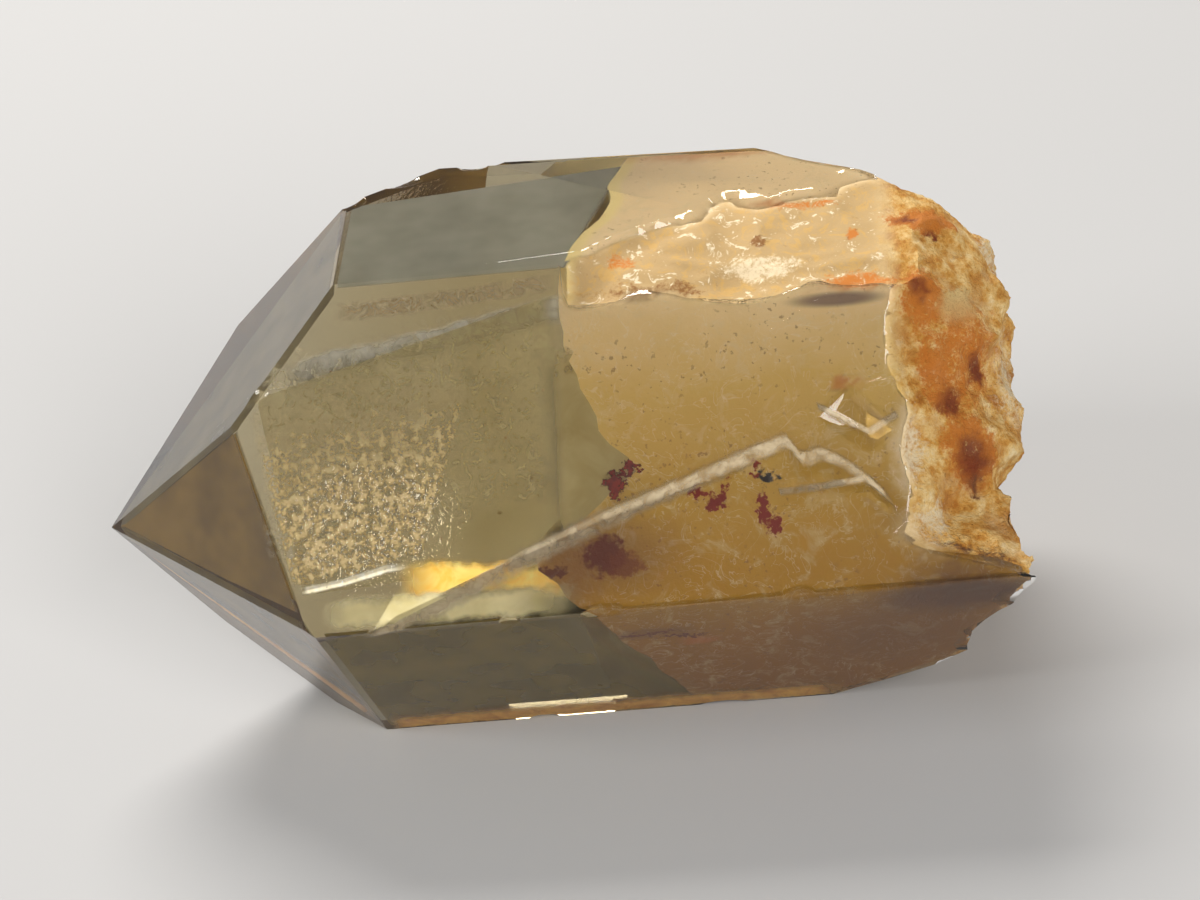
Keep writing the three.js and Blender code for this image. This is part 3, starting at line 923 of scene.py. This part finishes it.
def beside_veil_place(u, v):
    return under_front(23.6 + 5.8 * u, 1.9 + 8.0 * v, 0.3)


# Painted light: a pale film with no gaps over the shaded recess beside the veil.
light_film_beside_veil = film("painted_light_beside_veil", PAINTED_LIGHT_BESIDE_VEIL_TONES, 0.5, ALL_OVER, 0.62, (0.25, 0.05, 0.12, 0.12))
finish(sheet("painted_light_beside_veil", 16, 24, beside_veil_place, HAZE_THICKNESS, HAZE_DEPTH), light_film_beside_veil)

# Flecks: specks of iron ore and mud caught in the clear half as it grew. They lie just under
# the front face, each a flattened crumb of its own shape.
FLECKS = (  # place along and height, size, in millimetres
    (16.6, 7.9, 0.22), (16.9, 7.6, 0.16), (16.3, 8.1, 0.14), (16.1, 7.5, 0.12), (17.2, 8.2, 0.13),
    (23.1, 4.7, 0.2), (18.5, 2.5, 0.17), (20.3, 5.8, 0.1), (22.0, 6.4, 0.1), (14.4, 6.8, 0.1),
    (12.2, 7.4, 0.12), (19.0, 9.2, 0.1), (21.5, 3.4, 0.12), (24.0, 8.2, 0.1), (13.4, 9.6, 0.09),
    (20.9, 10.4, 0.1), (15.3, 4.4, 0.09), (17.9, 5.2, 0.08),
)
FLECK_DEPTH = 0.3
FLECK_FLATNESS = (1.0, 0.35, 0.7)
FLECK_LEAN = 0.6
FLECK_TURN = 1.3  # radians from each to the next
FLECK_TONES = ((0.35, (0.09, 0.02, 0.01)), (0.7, (0.35, 0.12, 0.03)))

dark_fleck, tree, shader = new_material("dark_fleck")
set_inputs(tree, shader, {
    "Base Color": ramp(tree, grain(tree, millimetres(tree), 4.0), FLECK_TONES), "Roughness": 0.5,
})
deselect_all()
flecks = []
for number, (x, z, size) in enumerate(FLECKS):
    spot = from_tip(*under_front(x, z, FLECK_DEPTH))
    bpy.ops.mesh.primitive_ico_sphere_add(subdivisions=2, radius=size / 1000, location=spot)
    fleck = bpy.context.object
    fleck.scale = FLECK_FLATNESS
    fleck.rotation_euler = (FLECK_LEAN, 0, number * FLECK_TURN)
    bpy.ops.object.transform_apply(location=True, rotation=True, scale=True)
    for vertex in fleck.data.vertices:
        vertex.co += noise.noise_vector(vertex.co * 6000) * (size / 1000 * 0.35)
    flecks.append(fleck)
pick(flecks[0])
for fleck in flecks:
    fleck.select_set(True)
bpy.ops.object.join()
flecks[0].name = "dark_flecks"
finish(flecks[0], dark_fleck)

# The studio: a plain pale floor, just clear of the crystal's flat face, and three soft lights.
# The key light stands above and behind, so that the stone glows, and two fills stand in front.
FLOOR_DROP = 0.00005
FLOOR_COLOR = (0.45, 0.45, 0.455, 1)
AIR_COLOR = (0.53, 0.52, 0.50, 1)
AIR_STRENGTH = 0.4
LIGHTS_AIM = (0, 0, 0.01)
KEY_COLOR = (1, 0.97, 0.92)
FILL_COLOR = (1, 0.98, 0.95)

deselect_all()
bpy.ops.mesh.primitive_plane_add(size=6, location=(0, 0, -FLOOR_DROP))
floor = bpy.context.object
floor.name = "studio_floor"
paper, tree, shader = new_material("pale_floor")
set_inputs(tree, shader, {"Base Color": FLOOR_COLOR, "Roughness": 0.8})
floor.data.materials.append(paper)


def soft_light(name, place, size, power, color):
    data = bpy.data.lights.new(name, "AREA")
    data.shape = "ELLIPSE"
    data.size, data.size_y = size
    data.energy = power
    data.color = color
    light = bpy.data.objects.new(name, data)
    bpy.context.scene.collection.objects.link(light)
    light.location = place
    light.rotation_euler = (Vector(LIGHTS_AIM) - Vector(place)).to_track_quat("-Z", "Y").to_euler()


soft_light("key_above_behind", (-0.1, 0.3, 0.35), (0.3, 0.2), 2.3, KEY_COLOR)
soft_light("fill_left", (-0.4, -0.15, 0.25), (0.2, 0.2), 1.3, FILL_COLOR)
soft_light("fill_front", (0.25, -0.4, 0.3), (0.3, 0.3), 2.2, FILL_COLOR)
world = bpy.data.worlds.new("studio_air")
world.use_nodes = True
background = world.node_tree.nodes["Background"]
set_inputs(world.node_tree, background, {"Color": AIR_COLOR, "Strength": AIR_STRENGTH})
bpy.context.scene.world = world
bpy.context.scene.view_settings.view_transform = "Standard"
light_paths = bpy.context.scene.cycles
light_paths.max_bounces = 8
light_paths.diffuse_bounces = 2
light_paths.glossy_bounces = 3
light_paths.transmission_bounces = 8
